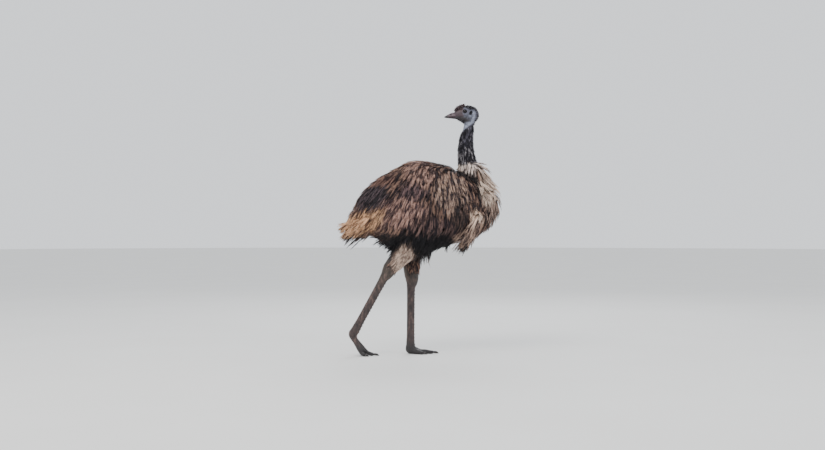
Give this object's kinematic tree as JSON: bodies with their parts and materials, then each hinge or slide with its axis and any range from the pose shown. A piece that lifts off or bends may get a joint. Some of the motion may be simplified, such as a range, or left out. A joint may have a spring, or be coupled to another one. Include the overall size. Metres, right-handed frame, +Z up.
{
  "type": "emu",
  "caption": "Life-size still emu in a slow walk, looking back over its shaggy body, weight on its left foot.",
  "frame": {"origin": "on the floor, under the middle of the bird's bounding box", "axes": "+X the way the body faces, +Y the bird's left, +Z up"},
  "size_m": [0.8818, 0.4556, 1.373],
  "materials": {
    "coat": "long loose brown feathers with paler streaks",
    "ruff": "soft buff feathers",
    "tail_coat": "tan drooping feathers",
    "neck_hair": "black hair-like feathers",
    "head_skin": "blue-grey bare skin under dark bristles",
    "bill": "satin horn",
    "eye": "wet, glossy",
    "thigh_coat": "short pale buff feathers",
    "leg_skin": "scaly, dry",
    "claw": "satin horn"
  },
  "bodies": {
    "root": {"torso": "coat", "tail": "tail_coat", "neck_lower": "ruff", "neck_upper": "neck_hair", "head": "head_skin", "bill_upper": "bill", "bill_lower": "bill", "eye_left": "eye", "eye_right": "eye", "wing_left": "coat", "wing_right": "coat", "thigh_left": "thigh_coat", "thigh_right": "thigh_coat", "shank_left": "leg_skin", "shank_right": "leg_skin", "foot_left": "leg_skin", "foot_right": "leg_skin", "claw_left_inner": "claw", "claw_left_middle": "claw", "claw_left_outer": "claw", "claw_right_inner": "claw", "claw_right_middle": "claw", "claw_right_outer": "claw"}
  },
  "joints": []
}
